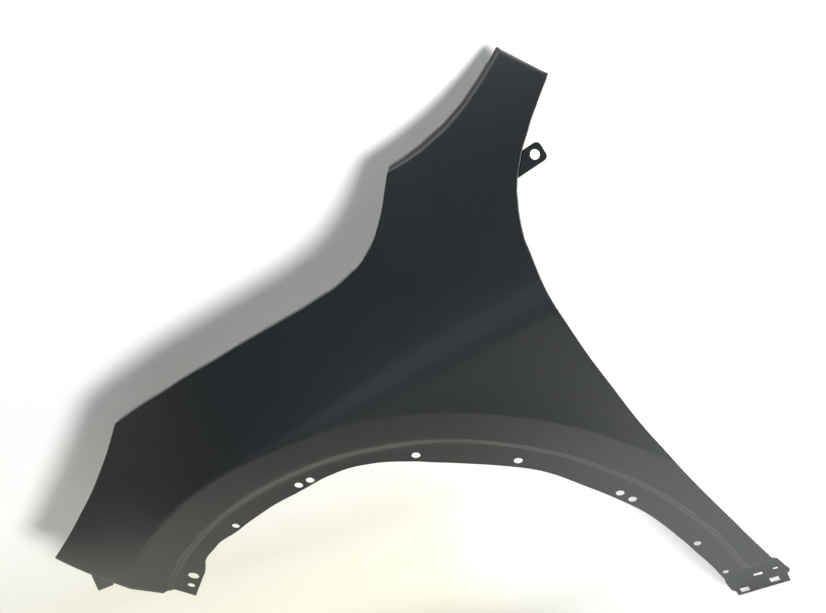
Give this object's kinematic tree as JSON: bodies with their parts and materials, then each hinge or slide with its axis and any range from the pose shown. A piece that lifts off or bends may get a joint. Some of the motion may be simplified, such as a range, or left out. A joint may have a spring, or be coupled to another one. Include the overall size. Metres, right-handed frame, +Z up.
{
  "type": "car front fender",
  "caption": "Left front car fender: pressed sheet with a flared wheel arch, a stepped and drilled arch flange, folded edges, an arm to the pillar, a sill tab and welded fixing tabs.",
  "frame": {"origin": "on the inner, seating face of the rear upper tab, beside its hole, where the fender is held to the car", "axes": "+X toward the car's rear, -Y toward the car's outer side, +Z up, as the fender sits on the car"},
  "size_m": [0.9994, 0.2126, 0.8982],
  "materials": {
    "panel_coat": "satin black dip primer on pressed steel",
    "tab_coat": "satin black dip primer on steel plate"
  },
  "bodies": {
    "root": {"fender_panel": "panel_coat", "rear_upper_tab": "tab_coat", "front_lower_tab": "tab_coat"}
  },
  "joints": []
}
